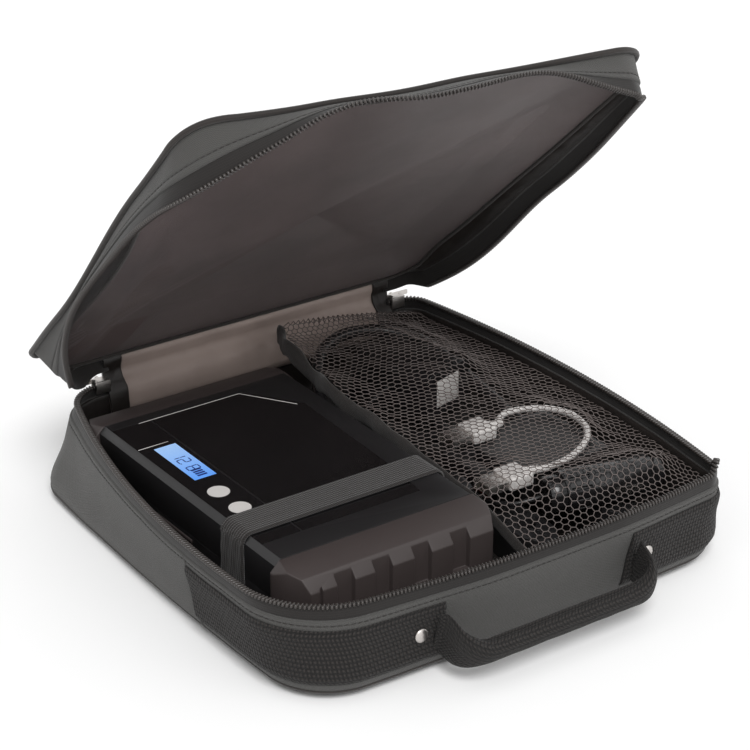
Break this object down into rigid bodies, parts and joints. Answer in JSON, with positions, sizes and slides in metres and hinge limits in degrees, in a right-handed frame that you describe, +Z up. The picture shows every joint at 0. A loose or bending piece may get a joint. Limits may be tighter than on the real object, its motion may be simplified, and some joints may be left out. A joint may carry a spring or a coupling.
{
  "type": "jump starter pack",
  "caption": "Soft zip case with a hinged lid holding a strapped-in jump starter, and a net pocket with its clamps, leads, charger and adapters.",
  "frame": {"origin": "middle of the flat underside of the case's base, on the surface it stands on", "axes": "+Z up, +Y from the handle side towards the hinge, +X to the right along the handle side"},
  "size_m": [0.2577, 0.2981, 0.2444],
  "materials": {
    "outer_cloth": "woven matt",
    "dark_tape": "ribbed matt",
    "zip_coil": "moulded coil",
    "lining": "satin",
    "board": "plain",
    "net": "open net",
    "nickel": "plated",
    "black_plastic": "fine grain",
    "bumper_rubber": "matt",
    "film": "satin film",
    "display": "clear window",
    "electronics": "board green",
    "cell_can": "sleeved",
    "blue_plastic": "moulded",
    "pale_plastic": "moulded",
    "cable": "smooth",
    "red_plastic": "moulded"
  },
  "bodies": {
    "base": {"base_shell": "outer_cloth", "base_lining": "lining", "base_floor_board": "board", "base_piping": "dark_tape", "base_zip_tape": "dark_tape", "base_zip_coil": "zip_coil", "hinge_strip_base": "lining", "webbing_left": "dark_tape", "webbing_right": "dark_tape", "handle_rivets": "nickel", "elastic_strap": "dark_tape", "mesh_pocket": "net", "pocket_binding": "dark_tape", "unit_lower_case": "black_plastic", "unit_upper_case": "black_plastic", "front_bumper": "bumper_rubber", "rear_bumper": "bumper_rubber", "label_film": "film", "control_film": "film", "lcd_window": "display", "lcd_module": "electronics", "circuit_board": "electronics", "battery_cells": "cell_can", "cell_busbars": "nickel", "button_switches": "black_plastic", "output_socket": "blue_plastic", "usb_sockets": "nickel", "unit_screws": "nickel", "unit_feet": "bumper_rubber", "charger_body": "black_plastic", "charger_label": "pale_plastic", "charger_pins": "nickel", "car_plug_body": "black_plastic", "car_plug_contacts": "nickel", "charge_lead": "cable", "lead_module": "black_plastic", "jump_leads": "cable", "red_clamp_lower": "red_plastic", "black_clamp_lower": "black_plastic", "clamp_pins": "nickel", "usb_lead": "pale_plastic", "usb_plugs": "pale_plastic"},
    "lid": {"lid_shell": "outer_cloth", "lid_lining": "lining", "lid_board": "board", "lid_piping": "dark_tape", "lid_zip_tape": "dark_tape", "lid_zip_coil": "zip_coil", "hinge_strip_lid": "lining"},
    "handle": {"handle_strap": "dark_tape", "handle_grip": "dark_tape"},
    "left_slider": {"left_zip_slider": "nickel"},
    "left_pull": {"left_zip_pull": "nickel"},
    "right_slider": {"right_zip_slider": "nickel"},
    "right_pull": {"right_zip_pull": "nickel"},
    "power_button": {"power_button": "pale_plastic"},
    "start_button": {"start_button": "pale_plastic"},
    "port_cover": {"port_cover": "bumper_rubber"},
    "red_jaw": {"red_clamp_upper": "red_plastic"},
    "black_jaw": {"black_clamp_upper": "black_plastic"}
  },
  "joints": [
    {"name": "lid_hinge", "type": "hinge", "parent": "base", "child": "lid", "pos_m": [0, 0.1305, 0.0463], "axis": [-1, 0, 0], "range_deg": [-41.5, 138.5]},
    {"name": "handle_fold", "type": "hinge", "parent": "base", "child": "handle", "pos_m": [0, -0.13525, 0.022], "axis": [-1, 0, 0], "range_deg": [-10, 60]},
    {"name": "left_slider_run", "type": "hinge", "parent": "base", "child": "left_slider", "pos_m": [-0.078, 0.1025, 0.046], "axis": [0, 0, 1], "range_deg": [0, 65]},
    {"name": "left_pull_swing", "type": "hinge", "parent": "left_slider", "child": "left_pull", "pos_m": [-0.078, 0.12943, 0.046], "axis": [0, 0, 1], "range_deg": [-165, 0]},
    {"name": "right_slider_run", "type": "hinge", "parent": "base", "child": "right_slider", "pos_m": [0.105, 0.1125, 0.046], "axis": [0, 0, -1], "range_deg": [0, 75]},
    {"name": "right_pull_swing", "type": "hinge", "parent": "right_slider", "child": "right_pull", "pos_m": [0.105, 0.12943, 0.046], "axis": [0, 0, -1], "range_deg": [-165, 0]},
    {"name": "power_button_press", "type": "slide", "parent": "base", "child": "power_button", "axis": [0, 0, -1], "range_m": [0, 0.0008], "stiffness_N_per_m": 1500, "springref_m": -0.0005},
    {"name": "start_button_press", "type": "slide", "parent": "base", "child": "start_button", "axis": [0, 0, -1], "range_m": [0, 0.0008], "stiffness_N_per_m": 1500, "springref_m": -0.0005},
    {"name": "port_cover_flap", "type": "hinge", "parent": "base", "child": "port_cover", "pos_m": [-0.1037, 0, 0.0238], "axis": [0, 1, 0], "range_deg": [0, 60]},
    {"name": "red_clamp_jaw", "type": "hinge", "parent": "base", "child": "red_jaw", "pos_m": [0.034, -0.062, 0.014], "axis": [0, 0, 1], "range_deg": [0, 20], "stiffness_Nm_per_rad": 1, "springref_deg": -11.46},
    {"name": "black_clamp_jaw", "type": "hinge", "parent": "base", "child": "black_jaw", "pos_m": [0.082, -0.062, 0.014], "axis": [0, 0, 1], "range_deg": [0, 20], "stiffness_Nm_per_rad": 1, "springref_deg": -11.46}
  ]
}
